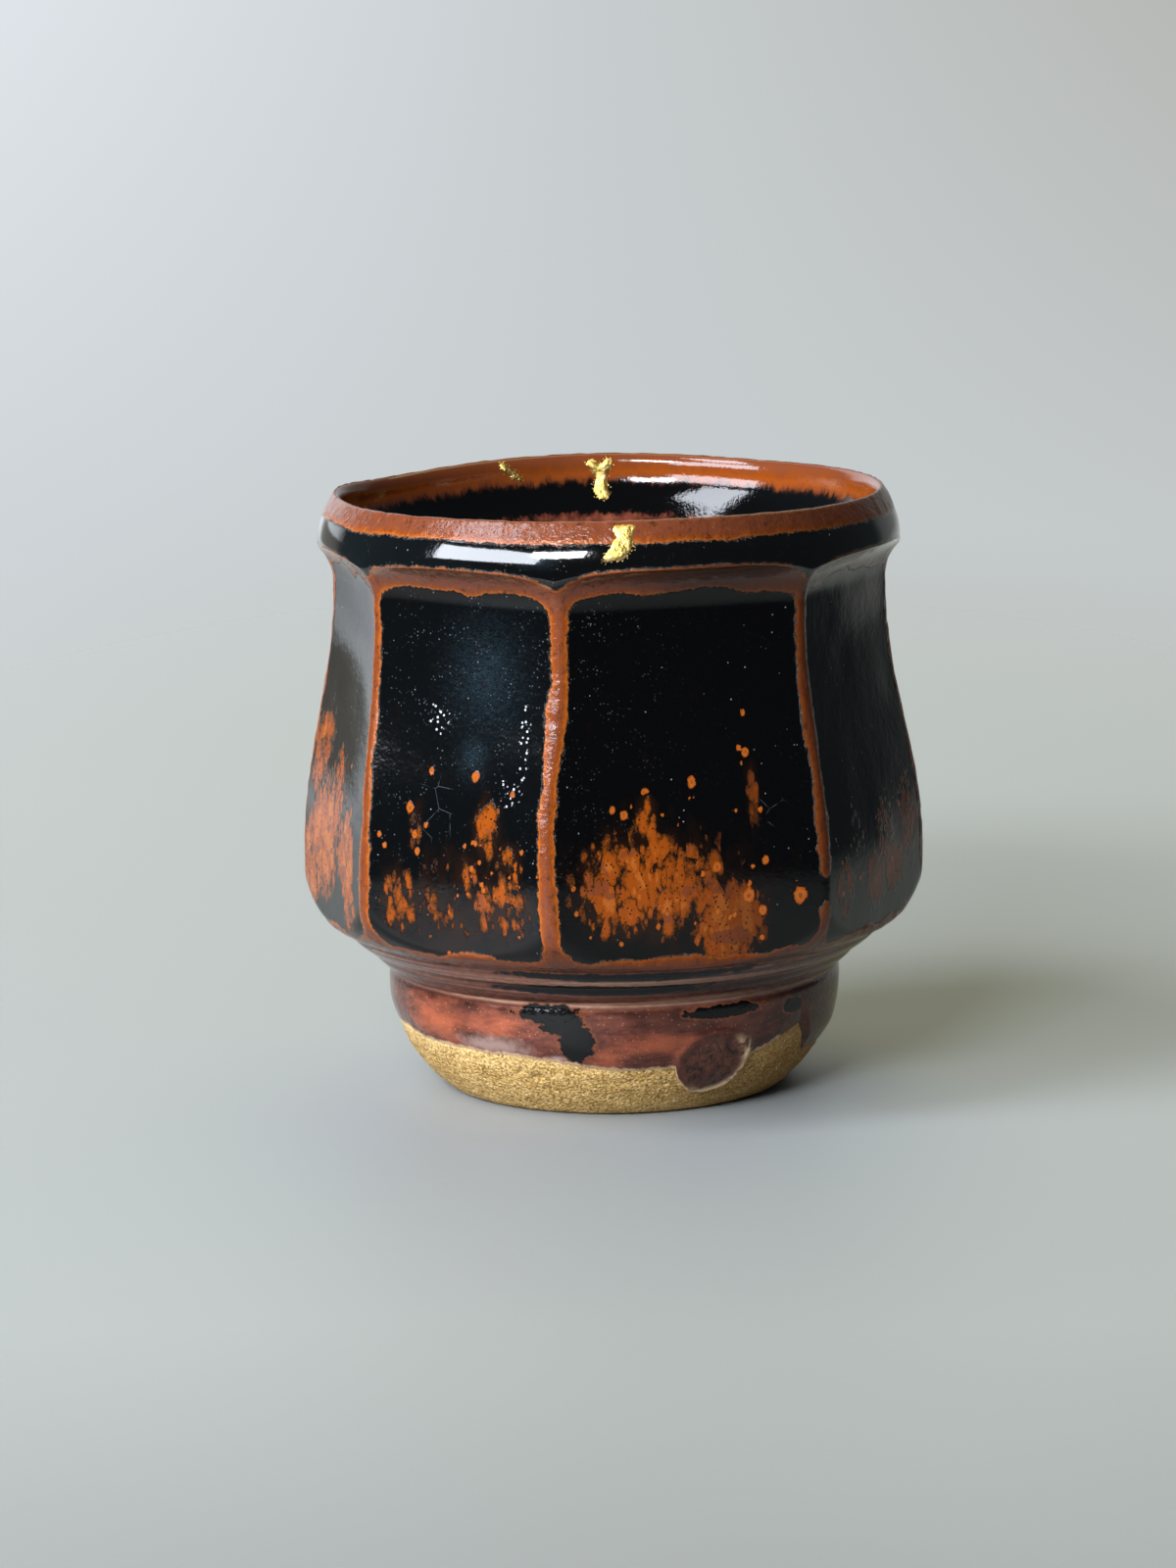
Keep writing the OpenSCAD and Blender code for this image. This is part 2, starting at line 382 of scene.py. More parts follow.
def glaze_stop(degrees):
    """Height of the glaze's lower edge, with the finger mark hanging under it."""
    line = at_stops(glaze_line, degrees)
    across = np.clip(np.abs(apart(degrees, finger_angle)) / finger_w, 0, 1)
    mark = finger_z - finger_h * np.sqrt(1 - across ** 2)
    line = np.where(across < 1, np.minimum(line, mark), line)
    line = line + value_noise(degrees, 0 * degrees, *line_grain)
    return line + value_noise(degrees, 0 * degrees, *fray_grain)


# Meshes


def solid(name, rings, poles=None, values=None):
    """A closed mesh through rings of points. Without poles the last ring joins the first one."""
    count = len(rings)
    points = np.concatenate(list(rings))
    ring_pairs = count - 1 if poles else count
    low = np.arange(ring_pairs)[:, None] * columns + np.arange(columns)[None, :]
    side = np.arange(ring_pairs)[:, None] * columns + (np.arange(columns)[None, :] + 1) % columns
    total = count * columns
    quads = np.stack([low, side, (side + columns) % total, (low + columns) % total], -1)
    faces = quads.reshape(-1, 4).tolist()
    if poles:
        points = np.concatenate([points, np.array(poles)])
        last = (count - 1) * columns
        for i in range(columns):
            j = (i + 1) % columns
            faces.append([total, j, i])
            faces.append([total + 1, last + i, last + j])
    return mesh_piece(name, points, faces, values)


def placed(name, data):
    """A new object in the scene."""
    made = bpy.data.objects.new(name, data)
    bpy.context.scene.collection.objects.link(made)
    return made


def mesh_piece(name, points, faces, values=None):
    mesh = bpy.data.meshes.new(name)
    mesh.from_pydata((points * MM).tolist(), [], faces)
    for key, numbers in (values or {}).items():
        attribute = mesh.attributes.new(key, "FLOAT", "POINT")
        full = np.zeros(len(points), np.float32)
        full[:len(numbers)] = numbers
        attribute.data.foreach_set("value", full)
    mesh.polygons.foreach_set("use_smooth", np.ones(len(mesh.polygons), bool))
    mesh.update()
    return placed(name, mesh)


def rows_between(start, end, step):
    return np.linspace(start, end, max(2, int(abs(end - start) / step)), endpoint=False)


def across_columns(rows):
    return np.broadcast_to(rows[:, None], (len(rows), columns))


# Rows of the outer coat: below this height they follow the glaze line, above it they are level
level_from = 14.0
# Heights where the spacing of the level rows changes, each with the spacing up to it
row_steps = [
    (neck_z, 0.3), (edge_z + 2, 0.16), (belly_z, 0.3), (scoop_z - 1, 0.38), (73.2, 0.16),
    (scoop_top + 0.4, 0.06), (cup_height, 0.15),
]


def outer_rows():
    """Distances along the outline from the foot to the crest, closer together where the form turns fast."""
    rows = []
    start = run_at(level_from)
    for z, step in row_steps:
        end = run_at(z)
        rows.append(rows_between(start, end, step))
        start = end
    return np.concatenate(rows + [[run[crest_at]]])


def edge_height(degrees):
    """Height of the edge where the scooped tops of the facets meet the band."""
    degrees = carved(degrees, scoop_top)
    top = np.full(np.shape(degrees), 0.0)
    for width, middle in zip(facet_widths, facet_angles):
        lean = np.cos(np.radians(apart(degrees, middle)))
        share = (band_r * lean - math.cos(math.radians(width / 2)) * waist_r) / scoop_reach
        height = scoop_z + scoop_h * np.sqrt(np.clip(1 - (1 - np.clip(share, 0, 1)) ** 2, 0, 1))
        inside = np.abs(apart(degrees, middle)) <= width / 2
        top = np.where(inside, height, top)
    return top


# Half widths of the rust lines on the ridges, from the first ridge on, and the break in the third one
ridge_lines = [0.95, 1.1, 0.85, 0.95, 1.05, 0.95, 1.1, 0.9]
break_ridge = 2
break_z = 31.8
break_half = 1.3
break_depth = 3
# Rust under the facet tops, how far it laps over their edge, and rust on the turned edge and the rim
top_rust = 3.0
top_over = 0.2
bottom_rust = 22.9
bottom_half = 1.3
rim_rust = 77.9
# The black pocket that dips between two facet tops, over each ridge
pocket_depth = 1.4
pocket_half = 2.0
# Unevenness of the lines and softness of their corners
ridge_grain = (0.35, 40, 4, 31)
top_grain = (0.3, 6, 50, 32)
bottom_grain = (0.55, 5, 50, 33)
rust_rim_grain = (0.15, 12, 50, 34)
top_soft = 1.5
bottom_soft = 2.8
no_ridge = 9.0

# Strength of the rust's colour round the cup, on ridges and rim, facet tops and turned edge: angle, share.
# It is lower on the right, away from the lamps, as painted shade
ridge_painted_shade = [
    (-180, 0.85), (-90, 0.9), (-45, 1), (-8, 1), (8, 0.85), (30, 0.45), (45, 0.3), (80, 0.35), (120, 0.85),
    (180, 0.85),
]
top_painted_shade = [
    (-180, 0.8), (-60, 0.9), (-14, 0.9), (0, 0.85), (6, 0.7), (14, 0.32), (25, 0.2), (38, 0.18), (70, 0.25),
    (120, 0.75), (180, 0.8),
]
bottom_painted_shade = [(-180, 0.65), (-60, 0.75), (-20, 0.65), (0, 0.5), (40, 0.4), (90, 0.45), (180, 0.65)]
# The same inside the rim, darkest on the left wall, which faces away from the lamps: painted shade
inside_painted_shade = [
    (-180, 0.8), (-165, 0.65), (-150, 0.55), (-120, 0.5), (-60, 0.6), (0, 0.8), (90, 0.9), (150, 1),
    (170, 0.95), (180, 0.8),
]
# Heights between which the facet tops and the turned edge take over from the ridges
tops_begin = (67, 70)
tops_end = (77, 75.5)
bottom_begin = (27, 25)


def rust_painted_shade(degrees, z):
    """How strong the rust's colour is at each place: darker towards the right, as painted shade."""
    ridge = at_stops(ridge_painted_shade, degrees)
    top = at_stops(top_painted_shade, degrees)
    bottom = at_stops(bottom_painted_shade, degrees)
    depth = ridge + (top - ridge) * (smooth_step(*tops_begin, z) * smooth_step(*tops_end, z))
    return depth + (bottom - depth) * smooth_step(*bottom_begin, z)


def rust_lines(degrees, z):
    """Distance in mm outside the rust lines along ridges, facet tops, turned edge and rim."""
    ridge = np.full(np.shape(z), far_off)
    nearest = np.full(np.shape(z), far_off)
    turned = carved(degrees, z)
    for i, angle in enumerate(ridge_angles):
        away = np.abs(np.radians(apart(turned, angle))) * ridge_r(z)
        half = ridge_lines[i] * (1 + value_noise(0 * z + 40 * i, z, *ridge_grain))
        if i == break_ridge:
            half = half - break_depth * bell(z - break_z, break_half)
        ridge = np.minimum(ridge, away - half)
        nearest = np.minimum(nearest, away)
    edge = edge_height(degrees)
    upper = edge + top_over - pocket_depth * bell(nearest, pocket_half)
    lower = edge - top_rust * (1 + value_noise(degrees, 0 * z, *top_grain))
    top = np.maximum(z - upper, lower - z)
    bottom = np.abs(z - bottom_rust) - bottom_half - value_noise(degrees, 0 * z, *bottom_grain)
    near_top = z > edge - 3
    ridge = np.where(near_top, np.maximum(ridge, z - upper), np.where(z < edge_z, no_ridge, ridge))
    lines = soft_min(soft_min(top, ridge, top_soft), bottom, bottom_soft)
    rim = rim_rust + value_noise(degrees, 0 * z, *rust_rim_grain) - z
    return np.minimum(lines, rim)


# Rust clouds low on the facets: angle, height, half width in degrees, half height, strength
rust_clouds = [
    (1.5, 33.8, 14, 10, 0.8), (10, 33.5, 11, 10.5, 0.85), (18, 33.5, 8, 9, 0.75), (22.5, 28.5, 12, 9, 0.95),
    (6.5, 42, 3.6, 5, 0.75), (27, 28, 5, 5, 0.6), (3, 29, 8, 4, 0.5), (28.5, 44, 2.2, 8, 0.6),
    (12, 33, 32, 13, 0.4),
    (-30, 31, 24, 11, 0.42), (-24.8, 41, 4.5, 7, 0.72), (-20, 36, 5, 5, 0.6), (-28.5, 35, 4, 3.5, 0.65),
    (-23, 31, 8, 5.5, 0.62), (-17.5, 30.5, 4, 5, 0.6), (-44, 30.5, 6, 7, 0.68), (-36, 28.5, 6, 3.5, 0.5),
    (-41, 40, 2.5, 6, 0.45),
    (-85, 46, 10, 10, 0.8), (-71, 42, 9, 9, 0.75), (-78, 35, 15, 13, 1.0), (-63, 34, 9, 10, 0.95),
    (-60, 28, 7, 5, 0.8), (-88, 30, 10, 10, 0.9),
    (55, 38, 5, 6, 0.5), (68, 36, 8, 8, 0.62), (49, 31, 6, 6, 0.7), (63, 30, 9, 6, 0.75),
    (73, 31, 8, 6, 0.8), (81, 36, 8, 10, 0.7),
    (110, 32, 28, 12, 0.44), (103, 33, 12, 9, 0.85), (115, 30, 9, 6, 0.75), (122, 41, 4, 9, 0.65),
    (97, 41, 3.5, 7, 0.6),
    (152, 31, 28, 11, 0.42), (142, 29, 8, 6, 0.75), (158, 32, 12, 7, 0.85), (167, 37, 7, 10, 0.8),
    (149, 38, 3.5, 6, 0.6),
    (197, 32, 28, 12, 0.44), (188, 30, 13, 7, 0.9), (200, 33, 9, 8, 0.8), (206, 42, 4, 8, 0.65),
    (181, 38, 4, 8, 0.6),
    (241, 32, 26, 12, 0.44), (232, 31, 12, 7, 0.85), (245, 34, 8, 9, 0.8), (252, 43, 4, 7, 0.65),
    (226, 40, 3.5, 6, 0.55),
]
cloud_core = 0.3
# Strength of the clouds' colour round the cup, lower on the right, away from the lamps, as painted shade:
# angle, share
cloud_painted_shade = [
    (-180, 0.85), (-55, 0.95), (8, 1), (15, 0.8), (25, 0.4), (45, 0.36), (90, 0.4), (120, 0.8), (180, 0.85),
]
# Single spots of rust: angle, height, radius
rust_spots = [
    (16.2, 46.6, 0.75), (-0.2, 43.6, 0.5), (2, 42.9, 0.65), (30.2, 36.1, 0.55), (36.5, 31.2, 1.0),
    (26.8, 31.6, 0.9), (29.5, 29.6, 0.6), (20.5, 35.6, 0.7), (-42.5, 42.7, 0.7), (-41, 39.4, 0.5),
    (-40.2, 37.2, 0.5), (-28, 47.4, 0.7), (-38.5, 47.6, 0.5), (28, 50, 0.6), (100, 45, 0.7), (152, 47, 0.6),
    (210, 49, 0.8), (244, 46, 0.6),
]
spot_flatness = 0.8
strewn_count = 150
strewn_seed = 35
strewn_reach = (0.6, 1.4)
strewn_size = (0.2, 0.45)


def strewn_spots():
    """Small spots scattered round the clouds."""
    rng = np.random.default_rng(strewn_seed)
    found = []
    for _ in range(strewn_count):
        angle, height, half_w, half_h = rust_clouds[rng.integers(len(rust_clouds))][:4]
        turn = rng.uniform(0, 2 * math.pi)
        reach = rng.uniform(*strewn_reach)
        place = angle + reach * half_w * math.cos(turn), height + reach * half_h * math.sin(turn)
        found.append((*place, rng.uniform(*strewn_size)))
    return found


def clouds(degrees, z):
    most = np.zeros(np.shape(z))
    for angle, height, half_w, half_h, strength in rust_clouds:
        far = oval_distance(degrees, z, angle, height, half_w, half_h)
        most = np.maximum(most, strength * (1 - smooth_step(cloud_core, 1, far)))
    return most


def spots(degrees, z):
    most = np.full(np.shape(z), -1.0)
    for angle, height, size in rust_spots + strewn_spots():
        across = np.radians(apart(degrees, angle)) * belly_r
        most = np.maximum(most, 1 - np.hypot(across, (z - height) * spot_flatness) / size)
    return most


# Marks on the black facets and on the foot: angle, height, half width in degrees, half height
glaze_marks = {
    # Places where a bluish sheen is painted on the glaze
    "bloom": [(-27, 60, 22, 18), (-25, 62, 10, 6), (-29, 50, 9, 7), (-14, 75.6, 9, 1.8), (200, 55, 20, 14)],
    "specks": [(-38, 54.5, 3.6, 3.4), (-17.5, 52, 1.8, 8), (-20, 46, 3, 3), (150, 50, 3, 4)],
    "crackle": [(-37, 42.5, 6, 5.5), (32, 42.5, 4, 2.5), (215, 45, 8, 6)],
    "pools": [
        (-17, 15.2, 9, 1.5), (-13.5, 14, 6.2, 2.1), (-10, 11.3, 5, 3), (28, 14.8, 12, 1.1),
        (51, 13.8, 4.6, 1.2), (160, 13, 9, 2), (230, 12, 6, 3),
    ],
    "glow": [
        (-52, 12.5, 16, 4), (-30, 13.4, 14, 2), (-2, 9.3, 4.5, 1.6), (10, 11, 14, 2), (120, 11, 14, 3),
        (200, 12, 12, 3),
    ],
    "haze": [(-33, 10.2, 14, 1.7), (-15, 9.0, 4, 0.6), (80, 12, 12, 3), (255, 11, 18, 2)],
    "grooves": [
        (4, 21.65, 28, 0.95), (-3, 19, 24, 0.8), (120, 21.6, 50, 0.9), (190, 19, 40, 0.8),
        (255, 21.6, 40, 0.8),
    ],
}


def places(degrees, z, ovals):
    """How far inside the nearest of some ovals each point lies, from 1 in a middle to -1 outside."""
    most = np.full(np.shape(z), -1.0)
    for oval in ovals:
        most = np.maximum(most, 1 - oval_distance(degrees, z, *oval))
    return most


# Shares of the way from the glaze line to the level rows
foot_shares = np.concatenate([[0, 0.004, 0.01, 0.02], np.linspace(0.035, 1, 52, endpoint=False)])
# The glaze's lower edge rises steeply by a share of its thickness, then slowly to all of it
steep_share = 0.3
steep_run = 0.35
slow_run = 3.2
# Depth of the finger mark and the bank round it
press_depth = 0.3
press_edge = (0.6, 0.95)
bank_h = 0.22
bank_half = 0.09
# Beads in the rust lines
bead_h = 0.06
bead_edge = (0.2, -0.6)
bead_grain = (1, 2, 1.2, 41)
# Angles between which the glaze's lower edge stays dark
dark_edge_from = (47, 54)
dark_edge_to = (90, 75)
# Stripes of the neck, broad and fine
broad_grain = (1, 50, 0.55, 51)
fine_grain = (0.5, 25, 0.3, 52)
# The clay side of the coat has one row to this many on the outside
back_every = 6


def outer_glaze():
    degrees = angles[None, :]
    stop = run_at(glaze_stop(angles))[None, :]
    foot = stop + (run_at(level_from) - stop) * foot_shares[:, None]
    along = np.concatenate([foot, across_columns(outer_rows())])
    past_stop = along - stop
    steep = steep_share * np.sqrt(np.clip(past_stop / steep_run, 0, 1))
    rise = steep + (1 - steep_share) * smooth_step(0, slow_run, past_stop)
    z = height_at(along)
    degrees = np.broadcast_to(degrees, z.shape)
    mark = finger_distance(degrees, z)
    bank = bank_h * bell(mark - 1, bank_half)
    press = press_depth * (1 - smooth_step(*press_edge, mark)) - bank
    lines = rust_lines(degrees, z)
    beads = bead_h * smooth_step(*bead_edge, lines) * (1 + value_noise(degrees, z, *bead_grain))
    front = cup_points(degrees, along, glaze_t * (1 - rise) + press - beads * (z > edge_z))
    back_rows = np.concatenate([np.arange(0, len(along) - 1, back_every), [len(along) - 1]])
    back = cup_points(degrees[back_rows], along[back_rows], glaze_t)
    dark_edge = smooth_step(*dark_edge_from, degrees) * smooth_step(*dark_edge_to, degrees)
    stripes = value_noise(degrees, z, *broad_grain) + value_noise(degrees, z, *fine_grain)
    values = {
        "lines": lines,
        "clouds": clouds(degrees, z),
        "spots": spots(degrees, z),
        # Painted shade share on the rust and the foot: the lower it is, the darker
        "depth": rust_painted_shade(degrees, z),
        "cloud_painted_shade": at_stops(cloud_painted_shade, degrees),
        "height": z,
        "past_stop": past_stop + dark_edge,
        "below_edge": edge_height(degrees) - z,
        "mark": mark,
        "mark_rim": finger_rim(degrees, z),
        "stripes": stripes,
    }
    for name, ovals in glaze_marks.items():
        values[name] = places(degrees, z, ovals)
    values = {key: np.concatenate([v, v[back_rows][::-1]]).ravel() for key, v in values.items()}
    return solid("outer_glaze_coat", np.concatenate([front, back[::-1]]), values=values)


# The inside coat has close rows from the crest down to this height
close_rows_to = 66


def inner_glaze():
    rows = np.concatenate([
        rows_between(run[crest_at], run_at(close_rows_to, True), 0.2),
        rows_between(run_at(close_rows_to, True), run[-1] - 0.5, 0.7),
    ])
    along = across_columns(rows)
    front = cup_points(angles[None, :], along, inside=True)
    back_along = np.concatenate([along[::-4], along[:1]])
    back = cup_points(angles[None, :], back_along, glaze_t, inside=True)
    heights = np.concatenate([height_at(along), height_at(back_along)])
    rings = np.concatenate([front, back])
    # From the middle of the floor up the clay side, then down the inside
    order = list(range(len(front), len(rings))) + list(range(len(front)))
    poles = [(0, 0, floor_z - glaze_t), (0, 0, floor_z)]
    # Painted shade: the inner rust darkens on the wall that faces away from the lamps
    depth = at_stops(inside_painted_shade, angles)
    values = {"height": heights[order].ravel(), "depth": np.tile(depth, len(rings))}
    return solid("inner_glaze_coat", rings[order], poles, values)


# Pits in the bare clay: angle, height, radius
clay_pits = [
    (-26.5, 6.3, 0.45), (-22.5, 5.6, 0.75), (-21, 5.9, 0.5), (-19, 4.2, 0.4), (-13, 4.0, 0.35),
    (-44, 7.4, 0.35), (60, 4, 0.5), (120, 5, 0.6), (171, 6, 0.5), (214, 4.5, 0.7), (262, 6.2, 0.5),
]
pit_depth = 0.5
# The bare clay's radius at the pits, in shares of the standing edge's radius
pit_flare = 1.2
# How far the bare clay is painted browner round the foot, most on the right away from the lamps, as painted
# shade: angle, share
clay_painted_shade = [(-180, 0.25), (-60, 0), (0, 0.08), (25, 0.3), (50, 0.65), (90, 0.5), (140, 0.3), (180, 0.25)]
# Grit and throwing lines in the bare clay, the height where they end, and where its close rows end
grit_grain = (0.05, 1.4, 0.6, 61)
throw_grain = (0.08, 9, 1.0, 62)
grit_top = 11
bare_top = 11.5
# Standing ring and recess under the foot, from its middle outwards: radius, height
under_foot = [
    (3, recess_top), (recess_r - 2, recess_depth + 0.25), (recess_r - 0.8, recess_depth),
    (recess_r - 0.1, 0.6), (recess_r + 0.3, 0.1), (recess_r + 0.8, 0.0), (stand_r - 0.8, 0.0),
]
# Height value of the clay inside, where no bare clay shows
hidden_height = 40.0


def clay_grit(degrees, z):
    """How far the bare clay stands out or is pitted at each place."""
    grit = value_noise(degrees, z, *grit_grain) + value_noise(degrees, z, *throw_grain)
    for angle, height, size in clay_pits:
        far = np.hypot(np.radians(apart(degrees, angle)) * stand_r * pit_flare, z - height) / size
        grit = grit - pit_depth * size * np.exp(-far ** 4)
    return grit * smooth_step(0.0, 0.8, z) * (z < grit_top)


def clay_body():
    neck_end = run_at(edge_z + 3)
    rows = np.concatenate([
        rows_between(run_at(0.0), run_at(bare_top), 0.17),
        rows_between(run_at(bare_top), neck_end, 0.4),
        rows_between(neck_end, run[crest_at], 1.0),
    ])
    along = across_columns(rows)
    z = height_at(along)
    degrees = np.broadcast_to(angles[None, :], z.shape)
    outside = cup_points(degrees, along, glaze_t)
    outside[..., 2] = np.maximum(outside[..., 2], 0.0)
    grit = clay_grit(degrees, z)
    a = np.radians(degrees)
    outside[..., 0] += grit * np.sin(a)
    outside[..., 1] -= grit * np.cos(a)
    top = cup_points(angles, np.full(columns, run[crest_at]), glaze_t)
    inner_rows = rows_between(run[crest_at] + 1, run[-1] - 0.5, 1.2)
    inner = cup_points(angles[None, :], across_columns(inner_rows), glaze_t, inside=True)
    flat = np.radians(angles)
    circle = np.stack([np.sin(flat), -np.cos(flat)], -1)
    under = [np.column_stack([r * circle, np.full(columns, height)]) for r, height in under_foot]
    rings = np.concatenate([np.array(under), outside, top[None], inner])
    inner_heights = np.full(len(inner), hidden_height)
    heights = np.concatenate([np.full(len(under), 0.0), z[:, 0], [cup_height], inner_heights])
    poles = [(0, 0, recess_top), (0, 0, floor_z - glaze_t)]
    # Painted shade: the bare clay browns towards the right, away from the lamps
    clay_shade = at_stops(clay_painted_shade, angles)
    values = {"height": np.repeat(heights, columns), "clay_shade": np.tile(clay_shade, len(rings))}
    return solid("stoneware_body", rings, poles, values)


# Outlines of the mends: widths and drops from the crest
front_mend = [
    (-1.2, -0.4), (2.2, -0.4), (1.5, -2.2), (0.6, -3.9), (0.1, -4.6), (-2.2, -4.6), (-1.3, -3.2),
    (-0.2, -1.8),
]
back_mend = [
    (-2.9, -1.3), (-2.1, -0.7), (-1, -1.7), (0, -0.6), (0.8, -1.3), (-0.1, -2.8), (0.1, -4.2), (0.3, -5.9),
    (-1, -6.1), (-1.8, -4.7), (-1.5, -2.9),
]
side_mend_w = 1.0
side_mend = [
    (-1.6 - side_mend_w / 2, -0.7), (-1.6 + side_mend_w / 2, -0.7),
    (1.4 + side_mend_w / 2, -3.2), (1.4 - side_mend_w / 2, -3.2),
]
# Mends: piece and node of the gold, node of the filler, angle, outline, whether inside the rim, seed
mends = [
    ("front_gold", "front_mend_gold", "front_mend_filler", 2, front_mend, False, 71),
    ("back_gold", "back_mend_gold", "back_mend_filler", 180, back_mend, True, 72),
    ("side_gold", "side_mend_gold", "side_mend_filler", 202, side_mend, True, 73),
]
# Grid of the gold: cell, margin round the outline and least drop under the crest
gold_cell = 0.11
gold_margin = 1.2
least_drop = 0.15
# Raggedness of its edge, passes that round it, the share that stays, and the dust just outside it
gold_ragged = 0.28
gold_passes = 10
gold_share = 0.35
dust_share = 0.3
# Thickness of the gold at its edge and in the middle, its grain, and how deep its base lies
gold_edge_h = 0.02
gold_h = 0.34
gold_grit = 0.05
gold_base = 0.25


def inside_polygon(x, y, outline_points):
    inside = np.zeros(np.shape(x), bool)
    for (x0, y0), (x1, y1) in zip(outline_points, outline_points[1:] + outline_points[:1]):
        crosses = (y0 > y) != (y1 > y)
        at = x0 + (y - y0) * (x1 - x0) / (y1 - y0 if y1 != y0 else 1e-9)
        inside ^= crosses & (x < at)
    return inside


def gold_patch(name, angle, outline_points, inside, seed):
    """A ragged skin of gold on the rim inside an outline of widths and drops from the crest."""
    low = np.min(outline_points, axis=0) - gold_margin
    high = np.max(outline_points, axis=0) + gold_margin
    high[1] = min(high[1], -least_drop)
    x, drop = np.meshgrid(np.arange(low[0], high[0], gold_cell), np.arange(low[1], high[1], gold_cell))
    rng = np.random.default_rng(seed)

    def grain(size):
        coarse = rng.uniform(-1, 1, (int(np.ptp(drop) / size) + 3, int(np.ptp(x) / size) + 3))
        across = (x - low[0]) / size
        up = (drop - low[1]) / size
        i = np.floor(up).astype(int)
        j = np.floor(across).astype(int)
        return from_corners(coarse, i, j, j + 1, up - i, across - j)

    ragged_x = x + gold_ragged * grain(0.5)
    ragged_drop = drop + gold_ragged * grain(0.45)
    weight = inside_polygon(ragged_x, ragged_drop, outline_points).astype(float)
    for _ in range(gold_passes):
        padded = np.pad(weight, 1)
        rows, wide = weight.shape
        weight = sum(padded[i:rows + i, j:wide + j] for i in range(3) for j in range(3)) / 9
    dusted = rng.uniform(0, 1, weight.shape) < dust_share * smooth_step(0, 0.3, weight)
    kept = (weight > gold_share) | dusted
    swell = gold_h * smooth_step(0.3, 1, weight) * (0.75 + 0.35 * grain(0.7))
    height = gold_edge_h + swell + gold_grit * grain(0.28)
    facing = -1 if inside else 1
    degrees = angle + np.degrees(facing * x / (mouth_r if inside else band_r - 1))
    along = run_at(cup_height + drop, inside)
    top = cup_points(degrees, along, -height, inside)
    base = cup_points(degrees, along, gold_base, inside)
    return cell_solid(name, top, base, kept[:-1, :-1])


def cell_solid(name, top, base, cells):
    """A closed mesh of the grid cells that are kept, between a top and a base surface."""
    used = {}
    points = []
    faces = []

    def vertex(i, j, layer):
        key = (i, j, layer)
        if key not in used:
            used[key] = len(points)
            points.append((top if layer else base)[i, j])
        return used[key]

    present = np.pad(cells, 1)
    for i, j in zip(*np.nonzero(cells)):
        corners = [(i, j), (i, j + 1), (i + 1, j + 1), (i + 1, j)]
        faces.append([vertex(*c, 1) for c in corners])
        faces.append([vertex(*c, 0) for c in reversed(corners)])
        beside = [(i - 1, j), (i, j + 1), (i + 1, j), (i, j - 1)]
        for k, (beside_i, beside_j) in enumerate(beside):
            if not present[beside_i + 1, beside_j + 1]:
                c = corners[k]
                d = corners[(k + 1) % 4]
                faces.append([vertex(*c, 0), vertex(*d, 0), vertex(*d, 1), vertex(*c, 1)])
    return mesh_piece(name, np.array(points), faces)


# Materials


